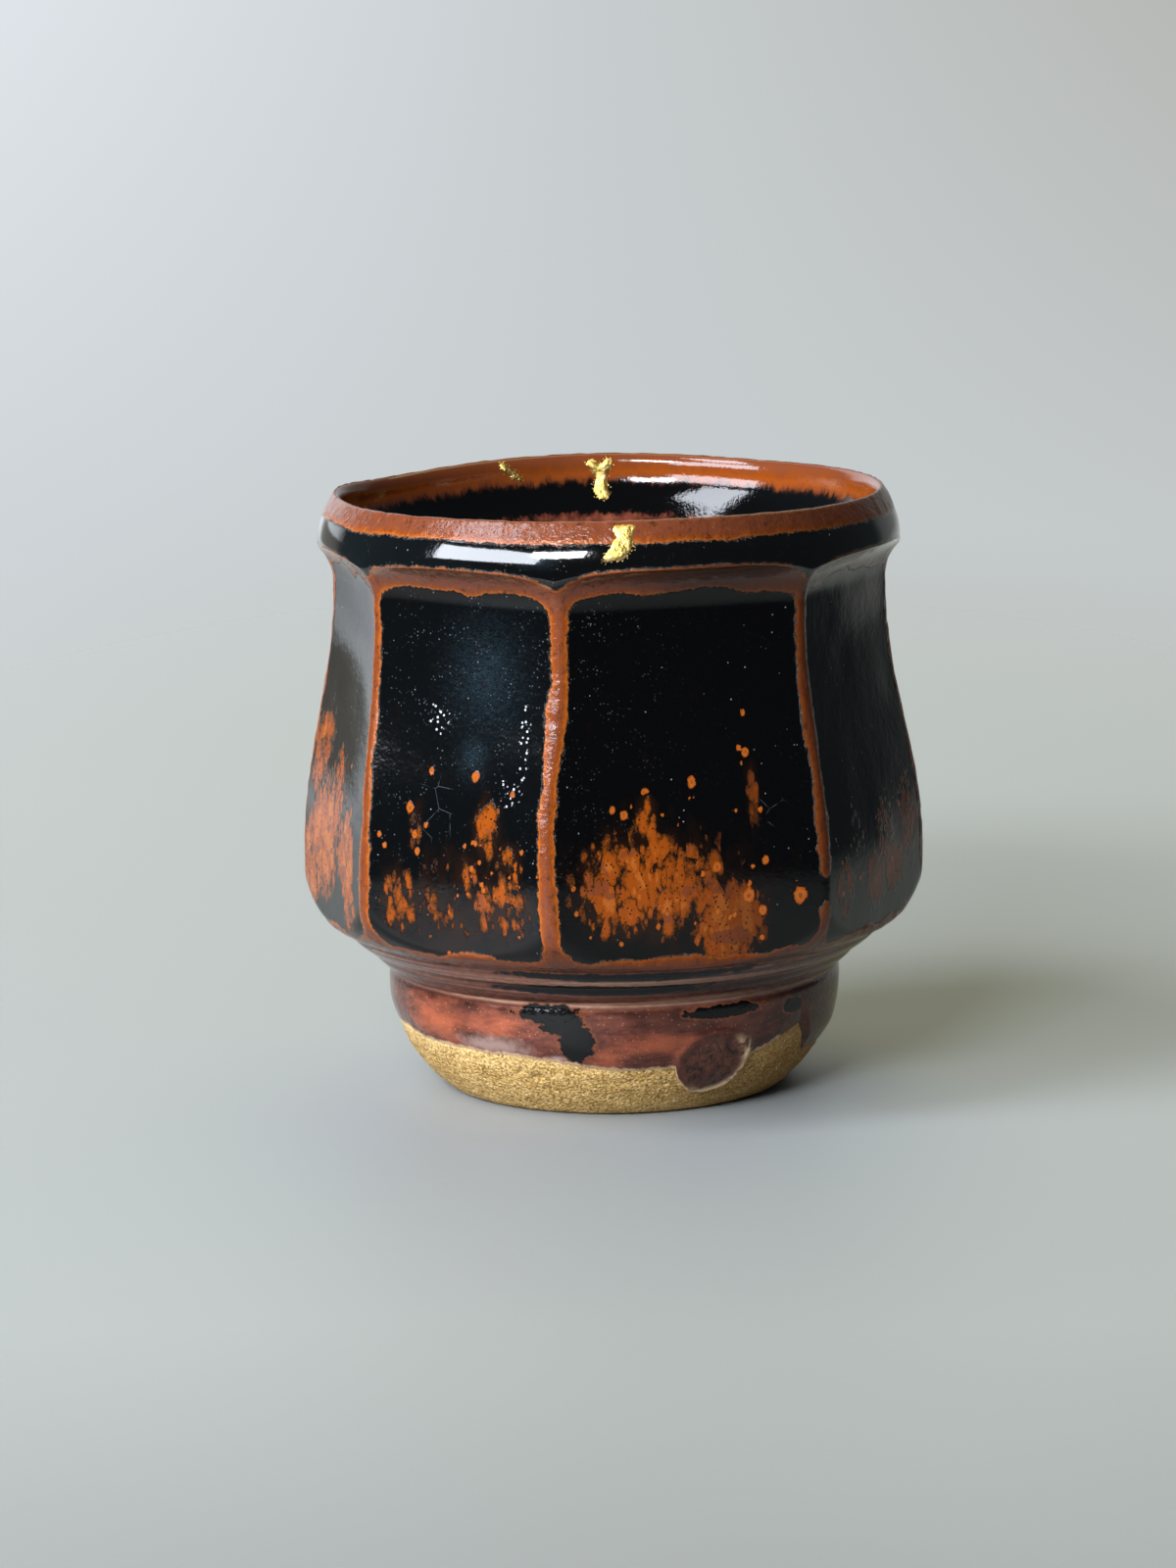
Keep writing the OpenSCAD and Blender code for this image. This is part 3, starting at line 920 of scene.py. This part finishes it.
class Nodes:
    """The nodes of one material, with sizes in millimetres on the object's own coordinates."""

    def __init__(self, name, owner=None):
        self.material = owner or bpy.data.materials.new(name)
        self.material.use_nodes = True
        self.tree = self.material.node_tree
        self.shader = self.tree.nodes.get("Principled BSDF")
        self.place = self.add("ShaderNodeTexCoord").outputs["Object"]

    def add(self, kind, **settings):
        node = self.tree.nodes.new(kind)
        for key, value in settings.items():
            setattr(node, key, value)
        return node

    def feed(self, socket, value):
        if isinstance(value, bpy.types.NodeSocket):
            self.tree.links.new(value, socket)
        elif isinstance(value, tuple) and len(value) == 3 and socket.type == "RGBA":
            socket.default_value = (*value, 1)
        else:
            socket.default_value = value

    def made(self, kind, inputs, output, **settings):
        """The output of a new node with its inputs fed."""
        node = self.add(kind, **settings)
        for key, value in inputs.items():
            self.feed(node.inputs[key], value)
        return node.outputs[output]

    def math(self, operation, a, b=0.0):
        return self.made("ShaderNodeMath", {0: a, 1: b}, 0, operation=operation)

    def times(self, a, b):
        return self.math("MULTIPLY", a, b)

    def most(self, a, b):
        return self.math("MAXIMUM", a, b)

    def total(self, first, *others):
        for other in others:
            first = self.math("ADD", first, other)
        return first

    def value(self, name):
        return self.made("ShaderNodeAttribute", {}, "Fac", attribute_name=name)

    def parts(self, vector):
        node = self.add("ShaderNodeSeparateXYZ")
        self.feed(node.inputs[0], vector)
        return node.outputs

    def stretched(self, stretch):
        return self.made("ShaderNodeMapping", {"Vector": self.place, "Scale": stretch}, "Vector")

    def noise(self, size, detail=3.0, stretch=(1, 1, 1), roughness=0.5, twist=0.0):
        inputs = {"Vector": self.stretched(stretch), "Scale": 1 / (size * MM), "Detail": detail}
        inputs.update({"Roughness": roughness, "Distortion": twist})
        return self.made("ShaderNodeTexNoise", inputs, "Fac")

    def spread(self, value, amount):
        """A noise moved to lie evenly about zero."""
        return self.times(self.math("SUBTRACT", value, 0.5), amount)

    def ragged(self, amount, *noise):
        """A new noise that lies evenly about zero."""
        return self.spread(self.noise(*noise), amount)

    def frayed(self, name, amount, *noise):
        """A stored value with a new noise added to it."""
        return self.total(self.value(name), self.ragged(amount, *noise))

    def cells(self, size, stretch=(1, 1, 1), feature="F1"):
        node = self.add("ShaderNodeTexVoronoi", feature=feature)
        self.feed(node.inputs["Vector"], self.stretched(stretch))
        self.feed(node.inputs["Scale"], 1 / (size * MM))
        return node.outputs

    def dots(self, size, outer, inner, stretch=(1, 1, 1)):
        """Round specks in the middles of scattered cells, from an outer to an inner share of the cell."""
        return self.step(self.cells(size, stretch)["Distance"], outer, inner)

    def share(self, value, low, high):
        return self.step(value, low, high, "LINEAR")

    def step(self, value, low, high, curve="SMOOTHSTEP"):
        inputs = {"Value": value, "From Min": low, "From Max": high}
        return self.made("ShaderNodeMapRange", inputs, "Result", interpolation_type=curve)

    def ramp(self, value, stops):
        node = self.add("ShaderNodeValToRGB")
        self.feed(node.inputs["Fac"], value)
        elements = node.color_ramp.elements
        while len(elements) < len(stops):
            elements.new(0.5)
        for element, (position, colour) in zip(elements, stops):
            element.position = position
            element.color = (*colour, 1)
        return node.outputs["Color"]

    def mix(self, share, a, b):
        return self.made("ShaderNodeMix", {0: share, 6: a, 7: b}, 2, data_type="RGBA")

    def blend(self, share, a, b):
        return self.made("ShaderNodeMix", {0: share, 2: a, 3: b}, 0, data_type="FLOAT")

    def bump(self, height, distance, normal=None):
        inputs = {"Height": height, "Distance": distance * MM}
        if normal is not None:
            inputs["Normal"] = normal
        return self.made("ShaderNodeBump", inputs, "Normal")

    def done(self, colour, roughness, normal, **constants):
        self.feed(self.shader.inputs["Base Color"], colour)
        self.feed(self.shader.inputs["Roughness"], roughness)
        self.feed(self.shader.inputs["Normal"], normal)
        for key, number in constants.items():
            self.shader.inputs[key.replace("_", " ")].default_value = number
        return self.material


# Linear colours of the glaze, from thick to thin
black = (0.0012, 0.0011, 0.0012)
rust_haze = (0.012, 0.004, 0.0015)
rust_dark = (0.028, 0.008, 0.003)
rust_olive = (0.09, 0.024, 0.003)
rust_orange = (0.245, 0.049, 0.004)
rust_brown = (0.18, 0.04, 0.008)
rust_mauve = (0.15, 0.038, 0.015)
rust_light = (0.34, 0.09, 0.012)
cream = (0.4, 0.25, 0.14)
# Marks on the black facets
# Painted bluish sheen on the black glaze
painted_sheen_blue = (0.024, 0.043, 0.056)
crack_grey = (0.055, 0.062, 0.068)
dust_grey = (0.3, 0.32, 0.33)
speck_grey = (0.075, 0.09, 0.097)
speck_white = (0.5, 0.52, 0.53)
# Foot glaze
# Colour of the painted shade on the foot's right side
foot_painted_shade = (0.026, 0.009, 0.006)
foot_red = (0.33, 0.08, 0.034)
foot_lilac = (0.31, 0.2, 0.17)
pool_border = (0.16, 0.045, 0.015)
thin_edge = (0.62, 0.42, 0.24)
# Bare clay
clay_flash = (0.7, 0.48, 0.21)
# Brown of the painted shade on the bare clay's right side
clay_shade_brown = (0.2, 0.09, 0.018)
clay_speck = (0.06, 0.034, 0.012)
clay_glint = (0.75, 0.6, 0.36)

# Colour ramps: position, colour
line_tones = [
    (0, black), (0.1, rust_dark), (0.2, rust_light), (0.32, rust_orange), (0.5, rust_brown),
    (0.8, rust_mauve),
]
cloud_tones = [
    (0, black), (0.1, rust_dark), (0.27, rust_olive), (0.5, rust_orange), (0.8, rust_orange),
    (1, rust_light),
]
spot_tones = [(0, rust_dark), (0.2, rust_orange), (0.5, rust_light), (0.8, rust_brown)]
foot_tones = [(0.32, (0.03, 0.009, 0.006)), (0.5, (0.085, 0.023, 0.014)), (0.7, (0.17, 0.05, 0.03))]
stripe_tones = [
    (0.15, (0.028, 0.009, 0.006)), (0.38, (0.12, 0.041, 0.025)), (0.58, (0.215, 0.085, 0.053)),
    (0.85, (0.42, 0.25, 0.17)),
]
mark_tones = [(0.36, (0.006, 0.004, 0.004)), (0.48, (0.05, 0.018, 0.011)), (0.7, (0.15, 0.05, 0.03))]
inner_rim_tones = [
    (0, black), (0.12, rust_dark), (0.28, rust_brown), (0.42, rust_orange), (0.7, rust_brown),
    (1, rust_mauve),
]
inner_low_tones = [(0.38, (0.006, 0.003, 0.002)), (0.52, (0.09, 0.022, 0.012)), (0.7, (0.18, 0.05, 0.026))]
clay_tones = [(0.3, (0.24, 0.13, 0.032)), (0.5, (0.46, 0.28, 0.086)), (0.72, (0.7, 0.48, 0.205))]
gold_tones = [(0.3, (0.38, 0.24, 0.05)), (0.5, (0.66, 0.46, 0.13)), (0.7, (0.86, 0.67, 0.28))]
lacquer_tones = [(0.35, (0.05, 0.016, 0.008)), (0.65, (0.12, 0.035, 0.014))]

# Heights between which one look of the outer glaze gives way to the next
foot_top = (22.0, 21.7)
neck_bottom = (15.2, 16.4)
gloss_bottom = (71, 73.5)
gloss_top = (78.2, 77.4)
# The same inside the cup: rust at the rim, black under it, maroon lower down and a black floor
inner_rust = (76.2, 77.0)
inner_rim = (76.2, 80.4)
inner_low = (73.0, 72.2)
inner_floor = (36, 24)
# The bare clay is paler from here up
flash_from = (6.0, 9.5)


def iron_glaze():
    n = Nodes("iron_glaze")
    fray = n.total(n.ragged(0.9, 2.0, 3), n.ragged(1.1, 0.45, 5, (1, 1, 0.6), 0.7))
    lines = n.total(n.value("lines"), fray)
    rust = n.step(lines, 0.25, -0.02)
    cloud, cloud_colour = rust_clouding(n)
    haze = n.step(n.frayed("clouds", 1.4, 2.6, 5, (1, 1, 0.6), 0.65), 0.1, 0.8)
    # Painted shade: the wash fades on the right with the clouds' shade share
    haze = n.times(haze, n.value("cloud_painted_shade"))
    wall = n.mix(haze, black_facet(n), rust_haze)
    wall = n.mix(cloud, wall, cloud_colour)
    # Painted shade: the rust lines turn to dark rust where the stored share is low, on the right
    line_colour = n.mix(n.value("depth"), rust_dark, rust_line_colour(n, lines))
    wall = n.mix(rust, wall, line_colour)
    height = n.value("height")
    foot_share = n.step(n.frayed("height", 0.5, 1.5, 3), *foot_top)
    colour = n.mix(foot_share, wall, foot_glaze(n))
    matt = n.most(rust, n.most(n.times(cloud, 0.25), n.times(foot_share, 0.6)))
    roughness = n.total(n.blend(matt, 0.05, 0.11), n.times(n.noise(6, 3), 0.05))
    gloss = n.times(n.step(height, *gloss_bottom), n.step(height, *gloss_top))
    n.feed(n.shader.inputs["Coat Weight"], n.times(gloss, 0.7))
    n.feed(n.shader.inputs["Specular IOR Level"], n.blend(cloud, 0.5, 0.3))
    peel = n.bump(n.noise(1.8, 2), 0.022)
    grain = n.times(n.noise(0.6, 4), n.blend(matt, 0.08, 1.0))
    return n.done(colour, roughness, n.bump(grain, 0.12, peel), IOR=1.38)


def rust_line_colour(n, lines):
    """Bright thin borders, browner and mottled in the middle, with a pale line under the facet edges that
    is partly glaze thinning over the edge and partly a painted highlight.
    """
    colour = n.ramp(n.share(lines, 0.25, -1.4), line_tones)
    mottle = n.noise(0.9, 5, (1, 1, 0.8), 0.7)
    colour = n.mix(n.times(n.step(mottle, 0.47, 0.3), 0.75), colour, rust_dark)
    colour = n.mix(n.times(n.step(mottle, 0.56, 0.72), 0.5), colour, rust_light)
    # A pale line just under the facet edges: partly the glaze breaking thin over the edge, partly a painted
    # highlight
    below = n.math("ABSOLUTE", n.math("SUBTRACT", n.value("below_edge"), 0.6))
    break_and_highlight = n.times(n.step(below, 0.4, 0.1), n.step(n.noise(1.6, 3), 0.45, 0.62))
    return n.mix(n.times(break_and_highlight, 0.35), colour, cream)


def rust_clouding(n):
    """Where the clouds of rust lie on the facets, and their colour: drops that run together where dense."""
    strength = n.value("clouds")
    drop = n.most(drops(n, strength, 1.5, 1.5), drops(n, strength, 0.75, 1.3))
    ragged = n.total(n.ragged(0.7, 0.9, 5, (1, 1, 0.6), 0.7), n.ragged(0.35, 0.3, 3))
    mottle = n.total(drop, ragged)
    share = n.step(mottle, -0.06, 0.08)
    grain = n.noise(0.8, 6, (1, 1, 0.75), 0.78)
    level = n.total(n.share(mottle, -0.06, 0.75), n.spread(grain, 1.1))
    colour = n.ramp(level, cloud_tones)
    island = n.times(n.step(n.noise(3.2, 2), 0.57, 0.6), n.step(mottle, 0.25, 0.32))
    colour = n.mix(n.times(island, 0.8), colour, rust_mauve)
    pores = n.times(n.dots(0.6, 0.32, 0.16), n.step(n.noise(1.1, 2), 0.42, 0.52))
    colour = n.mix(pores, colour, rust_dark)
    # Painted shade: the clouds turn to dark rust on the right
    colour = n.mix(n.value("cloud_painted_shade"), rust_dark, colour)
    spot = n.frayed("spots", 0.8, 0.5, 3)
    single = n.step(spot, 0.0, 0.15)
    return n.most(share, single), n.mix(single, colour, n.ramp(n.share(spot, 0, 1), spot_tones))


def drops(n, strength, size, gain):
    """How far inside a drop each point lies: the stronger the cloud, the more and larger its drops."""
    cells = n.cells(size, (1, 1, 0.5))
    chance = n.times(cells["Color"], -0.9)
    return n.total(n.times(strength, gain), chance, n.times(cells["Distance"], -0.8))


def black_facet(n):
    """Black glaze with a faint bluish sheen painted in, fine crackle and pale specks."""
    brushed_sheen = n.frayed("bloom", 2.6, 0.5, 5, (1, 1, 2.2), 0.75, 1.5)
    colour = n.mix(n.step(brushed_sheen, 0.35, 2.1), black, painted_sheen_blue)
    crack = n.step(n.cells(3.6, feature="DISTANCE_TO_EDGE")["Distance"], 0.011, 0.003)
    crack = n.times(crack, n.step(n.value("crackle"), 0.05, 0.4))
    colour = n.mix(n.times(crack, n.step(n.noise(2.0, 2), 0.4, 0.6)), colour, crack_grey)
    dust = n.times(n.dots(1.5, 0.08, 0.04), n.step(n.noise(4.0, 2), 0.42, 0.6))
    colour = n.mix(n.times(dust, 0.7), colour, dust_grey)
    fine = n.times(n.dots(0.55, 0.24, 0.1), n.step(n.noise(3.0, 4), 0.44, 0.66))
    # Fine grey specks, gathered where the bluish sheen is painted
    colour = n.mix(n.times(fine, n.step(n.value("bloom"), -1.3, 0.6)), colour, speck_grey)
    near = n.frayed("specks", 2.0, 0.9, 4, (1, 1, 1), 0.7)
    return n.mix(n.times(n.dots(0.6, 0.34, 0.2), n.step(near, 0.3, 0.5)), colour, speck_white)


def foot_glaze(n):
    """Colour of the thin maroon glaze under the turned edge, with dark pools in its grooves."""
    tone = n.noise(4.5, 6, (1, 1, 2.6), 0.66)
    colour = n.ramp(tone, foot_tones)
    glow = n.step(n.total(n.value("glow"), n.spread(tone, 1.8)), -0.2, 1.2)
    colour = n.mix(glow, colour, foot_red)
    haze = n.step(n.frayed("haze", 1.2, 1.2, 5), -0.1, 0.9)
    colour = n.mix(n.times(haze, 0.85), colour, foot_lilac)
    colour = n.mix(n.times(n.dots(0.7, 0.22, 0.1), 0.35), colour, cream)
    streaks = n.frayed("stripes", 0.9, 1.4, 4, (1, 1, 3), 0.6)
    striped = n.ramp(n.share(streaks, -1.2, 1.2), stripe_tones)
    colour = n.mix(n.step(n.total(n.value("height"), n.spread(tone, 1.5)), *neck_bottom), colour, striped)
    # Painted shade: the foot glaze darkens towards the right, away from the lamps
    colour = n.mix(n.step(n.value("depth"), 0.2, 0.65), foot_painted_shade, colour)
    groove = n.frayed("grooves", 1.3, 2.4, 4, (1, 1, 2.5), 0.6)
    colour = n.mix(n.step(groove, -0.12, 0.06), colour, black)
    pool = n.frayed("pools", 1.2, 1.3, 5, (1, 1, 1.3), 0.65)
    colour = n.mix(n.times(n.step(pool, -0.08, 0.04), 0.7), colour, pool_border)
    colour = n.mix(n.step(pool, 0.05, 0.16), colour, black)
    scratched = n.ramp(n.noise(2.2, 6, (1, 1, 0.8), 0.76, 1.5), mark_tones)
    colour = n.mix(n.step(n.value("mark"), 1.05, 0.6), colour, scratched)
    thin = n.step(n.frayed("past_stop", 0.9, 0.9, 3), 0.75, 0.15)
    broken = n.times(n.value("mark_rim"), n.step(n.noise(1.4, 3), 0.36, 0.56))
    return n.mix(n.most(broken, n.times(thin, 0.75)), colour, thin_edge)


def inner_glaze_material():
    n = Nodes("inner_glaze")
    height = n.value("height")
    runs = n.total(n.ragged(2.2, 1.8, 4, (1, 1, 0.3), 0.6), n.ragged(1.2, 0.4, 3, (1, 1, 0.3)))
    level = n.total(height, runs)
    low = n.ramp(n.noise(2.4, 5, (1, 1, 0.4)), inner_low_tones)
    colour = n.mix(n.step(level, *inner_low), black, low)
    colour = n.mix(n.step(height, *inner_floor), colour, black)
    rust = n.step(level, *inner_rust)
    rim = n.ramp(n.share(level, *inner_rim), inner_rim_tones)
    # Painted shade: the rim rust turns to dark rust where the stored share is low
    colour = n.mix(rust, colour, n.mix(n.value("depth"), rust_dark, rim))
    roughness = n.total(n.blend(rust, 0.045, 0.07), n.times(n.noise(6, 3), 0.04))
    peel = n.bump(n.noise(1.8, 2), 0.03)
    return n.done(colour, roughness, n.bump(n.noise(0.4, 3), 0.015, peel), IOR=1.45)


def stoneware():
    n = Nodes("stoneware")
    tone = n.total(n.ragged(0.5, 4.0, 3, (1, 1, 2.5), 0.6), n.ragged(1.5, 0.4, 3, (1, 1, 1.2), 0.6), 0.5)
    colour = n.ramp(tone, clay_tones)
    flash = n.step(n.total(n.value("height"), n.spread(tone, 5.0)), *flash_from)
    colour = n.mix(n.times(flash, 0.55), colour, clay_flash)
    # Painted shade: browner bare clay on the right
    colour = n.mix(n.value("clay_shade"), colour, clay_shade_brown)
    dark = n.times(n.dots(0.75, 0.3, 0.12), n.step(n.noise(2.2, 2), 0.4, 0.52))
    colour = n.mix(n.times(dark, 0.8), colour, clay_speck)
    glint = n.dots(0.7, 0.22, 0.1, (1, 1.1, 0.9))
    colour = n.mix(n.times(glint, 0.7), colour, clay_glint)
    lump = n.bump(n.noise(0.6, 3, (1, 1, 1.5), 0.6), 0.14)
    sand = n.bump(n.cells(0.4)["Distance"], 0.1, lump)
    return n.done(colour, n.total(n.times(tone, 0.2), 0.75), sand, IOR=1.3)


def gold():
    n = Nodes("mend_gold")
    colour = n.ramp(n.noise(0.9, 5, (1, 1, 1), 0.65), gold_tones)
    rough = n.total(n.times(n.noise(0.5, 3), 0.25), 0.25)
    crumple = n.bump(n.noise(0.35, 4, (1, 1, 1), 0.6), 0.2)
    return n.done(colour, rough, crumple, Metallic=1.0)


def lacquer():
    n = Nodes("lacquer_filler")
    colour = n.ramp(n.noise(0.8, 4), lacquer_tones)
    rough = n.total(n.times(n.noise(0.6, 3), 0.2), 0.3)
    return n.done(colour, rough, n.bump(n.noise(0.4, 3), 0.05), IOR=1.5)


def dress(piece, node, material):
    piece.data.materials.append(material)
    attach(piece, "root")
    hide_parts(node)


# The cup

gold_material = gold()
dress(outer_glaze(), "outer_glaze", iron_glaze())
dress(inner_glaze(), "inner_glaze", inner_glaze_material())
dress(clay_body(), "clay_body", stoneware())
filler_material = lacquer()
for piece_name, gold_node, filler_node, *shape in mends:
    dress(gold_patch(piece_name, *shape), gold_node, gold_material)
    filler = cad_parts[filler_node]
    filler.data.materials.clear()
    filler.data.materials.append(filler_material)


# Floor, light and camera, in metres

floor_r = 1.2
floor_sides = 96
# The floor fades between these distances, which are shorter to the sides
fade_from = 0.26
fade_to = 0.62
floor_narrow = 2.4
# The floor's shade from in front of the cup to behind it
shade_from = -0.25
shade_to = 0.4
floor_tones = [
    (0, (0.17, 0.178, 0.178)), (0.2, (0.254, 0.267, 0.265)), (0.45, (0.28, 0.295, 0.296)),
    (1, (0.395, 0.415, 0.418)),
]


def floor():
    """A pale round floor that fades into the studio some way from the cup."""
    turns = [math.radians(i * 360 / floor_sides) for i in range(floor_sides)]
    rim = [(floor_r * math.cos(a), floor_r * math.sin(a), 0) for a in turns]
    mesh = bpy.data.meshes.new("floor")
    mesh.from_pydata(rim, [], [tuple(range(floor_sides))])
    piece = placed("floor", mesh)
    n = Nodes("floor")
    depth = n.total(n.share(n.parts(n.place)["Y"], shade_from, shade_to), n.ragged(0.1, 180, 2))
    material = n.done(n.ramp(depth, floor_tones), 0.5, n.bump(n.noise(3, 2), 0.02))
    away = n.add("ShaderNodeVectorMath", operation="LENGTH")
    n.feed(away.inputs[0], n.stretched((floor_narrow, 1, 1)))
    cover = n.add("ShaderNodeMixShader")
    n.feed(cover.inputs[0], n.step(away.outputs["Value"], fade_from, fade_to))
    n.feed(cover.inputs[1], n.shader.outputs["BSDF"])
    n.feed(cover.inputs[2], n.add("ShaderNodeBsdfTransparent").outputs["BSDF"])
    n.feed(n.tree.nodes["Material Output"].inputs["Surface"], cover.outputs["Shader"])
    mesh.materials.append(material)


lamp_distance = 1.3


def area_light(name, angle, rise, width, height, power, colour):
    """A softbox at an angle from the front and a rise, facing the cup."""
    a = math.radians(angle)
    e = math.radians(rise)
    middle = Vector((0, 0, cup_height * MM / 2))
    towards = Vector((math.sin(a) * math.cos(e), -math.cos(a) * math.cos(e), math.sin(e)))
    data = bpy.data.lights.new(name, "AREA")
    data.shape = "RECTANGLE"
    data.size = width
    data.size_y = height
    data.energy = power
    data.color = colour
    lamp = placed(name, data)
    lamp.location = middle + lamp_distance * towards
    lamp.rotation_euler = (middle - lamp.location).to_track_quat("-Z", "Y").to_euler()


# The backdrop's colour from left to right, the dim strip along its foot on the left, and the room in front
backdrop_tones = [
    (0.0, (0.57, 0.61, 0.64)), (0.25, (0.45, 0.485, 0.51)), (0.4, (0.295, 0.31, 0.328)),
    (0.5, (0.23, 0.244, 0.25)), (0.6, (0.19, 0.196, 0.189)), (0.75, (0.15, 0.155, 0.145)),
    (0.95, (0.08, 0.085, 0.083)),
]
skirting_colour = (0.13, 0.128, 0.115)
room_colour = (0.02, 0.024, 0.027)
room_left_colour = (0.036, 0.056, 0.066)
studio_strength = 2.5


def studio():
    """A pale backdrop behind the cup, brighter to its left, and a dim room in front."""
    made = bpy.data.worlds.new("studio")
    made.use_nodes = True
    bpy.context.scene.world = made
    n = Nodes("studio", made)
    side, back, up = n.parts(n.add("ShaderNodeTexCoord").outputs["Generated"])
    tilt = n.total(n.times(n.share(up, -0.13, -0.03), 0.75), 0.25)
    backdrop = n.ramp(n.share(n.times(side, tilt), -0.5, 0.5), backdrop_tones)
    low = n.step(n.math("ABSOLUTE", n.total(up, 0.01)), 0.1, 0.06)
    backdrop = n.mix(n.times(low, n.step(side, -0.3, -0.45)), backdrop, skirting_colour)
    room = n.mix(n.step(side, -0.6, -0.95), room_colour, room_left_colour)
    colour = n.mix(n.step(back, 0.62, 0.74), room, backdrop)
    background = made.node_tree.nodes["Background"]
    n.feed(background.inputs["Color"], colour)
    background.inputs["Strength"].default_value = studio_strength


# The camera's place in millimetres, its tilt, and its lens in pixels of a picture this high
camera_place = (-3.2, -719.85, 169.46)
camera_pitch = math.radians(10.17)
camera_roll = math.radians(-0.8)
focal_px = 5547.0
image_h = 1600
sensor = 36.0


def camera():
    ahead = Vector((0, math.cos(camera_pitch), -math.sin(camera_pitch)))
    level = Vector((1, 0, 0))
    upright = level.cross(ahead)
    right = level * math.cos(camera_roll) + upright * math.sin(camera_roll)
    up = upright * math.cos(camera_roll) - level * math.sin(camera_roll)
    data = bpy.data.cameras.new("camera")
    data.sensor_width = sensor
    data.lens = focal_px / image_h * sensor
    data.clip_start = 0.01
    data.clip_end = 50
    eye = placed("camera", data)
    turn = Matrix((right, up, -ahead)).transposed().to_4x4()
    eye.matrix_world = Matrix.Translation(Vector(camera_place) * MM) @ turn
    bpy.context.scene.camera = eye


floor()
daylight = (0.935, 0.99, 1.09)
side_light = (0.955, 1.0, 1.06)
warm_light = (1.0, 0.93, 0.47)
# Softboxes: name, angle from the front, rise, width, height, power, colour
lamps = [
    ("window", -50.5, 23, 1.02, 0.42, 21.5, daylight),
    ("window_top", -63, 49, 0.46, 0.52, 12, daylight),
    ("window_side", -20, 29, 0.42, 0.2, 15, side_light),
    ("overhead", 165, 66, 1.3, 1.3, 8.5, warm_light),
]
for lamp in lamps:
    area_light(*lamp)
studio()
camera()
bpy.context.scene.view_settings.view_transform = "Standard"
